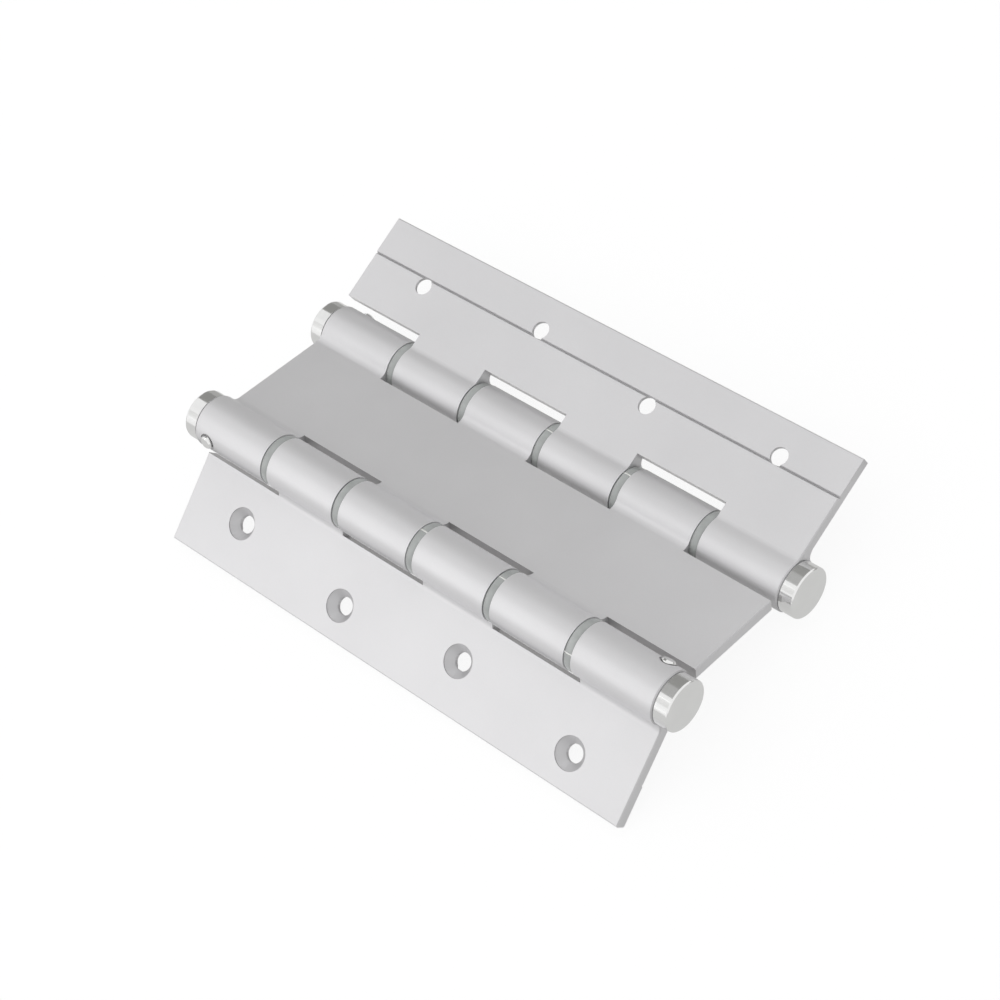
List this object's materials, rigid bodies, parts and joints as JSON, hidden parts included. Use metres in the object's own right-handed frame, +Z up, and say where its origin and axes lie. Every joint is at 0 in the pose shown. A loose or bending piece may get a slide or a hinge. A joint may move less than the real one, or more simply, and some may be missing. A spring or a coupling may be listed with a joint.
{
  "type": "double action spring hinge",
  "caption": "Double action spring hinge with a centre plate between sprung knuckle barrels and countersunk outer leaves that fold flat onto it.",
  "frame": {"origin": "on the ground under the middle of the hinge as it stands in the pose of the picture", "axes": "+X along both barrels, from the anchored spring ends to the wound ends; +Y from the front barrel to the back barrel; +Z up"},
  "size_m": [0.19, 0.1206, 0.033],
  "materials": {
    "leaves": "satin silver plated steel",
    "bushes": "grey nylon",
    "caps": "bright nickel plated, turned",
    "pins": "plain ground steel",
    "springs": "oiled spring steel wire"
  },
  "bodies": {
    "centre": {"centre_leaf": "leaves", "front_bush_1": "bushes", "front_bush_2": "bushes", "front_bush_3": "bushes", "front_bush_4": "bushes", "front_bush_5": "bushes", "back_bush_1": "bushes", "back_bush_2": "bushes", "back_bush_3": "bushes", "back_bush_4": "bushes", "back_bush_5": "bushes", "front_spring": "springs", "back_spring": "springs", "front_anchor_plug": "caps", "back_anchor_plug": "caps", "front_anchor_pin": "pins", "back_anchor_pin": "pins"},
    "front_leaf_body": {"front_leaf": "leaves", "front_tension_plug": "caps", "front_tension_pin": "pins"},
    "back_leaf_body": {"back_leaf": "leaves", "back_tension_plug": "caps", "back_tension_pin": "pins"}
  },
  "joints": [
    {"name": "front_barrel_hinge", "type": "hinge", "parent": "centre", "child": "front_leaf_body", "pos_m": [0, -0.02762, 0.02469], "axis": [1, 0, 0], "range_deg": [-227.4, 42.6], "stiffness_Nm_per_rad": 0.59, "springref_deg": 6.3, "deforming": ["front_spring"]},
    {"name": "back_barrel_hinge", "type": "hinge", "parent": "centre", "child": "back_leaf_body", "pos_m": [0, 0.02258, 0.0083], "axis": [1, 0, 0], "range_deg": [-210, 60], "stiffness_Nm_per_rad": 0.59, "springref_deg": 2.86, "deforming": ["back_spring"]}
  ]
}
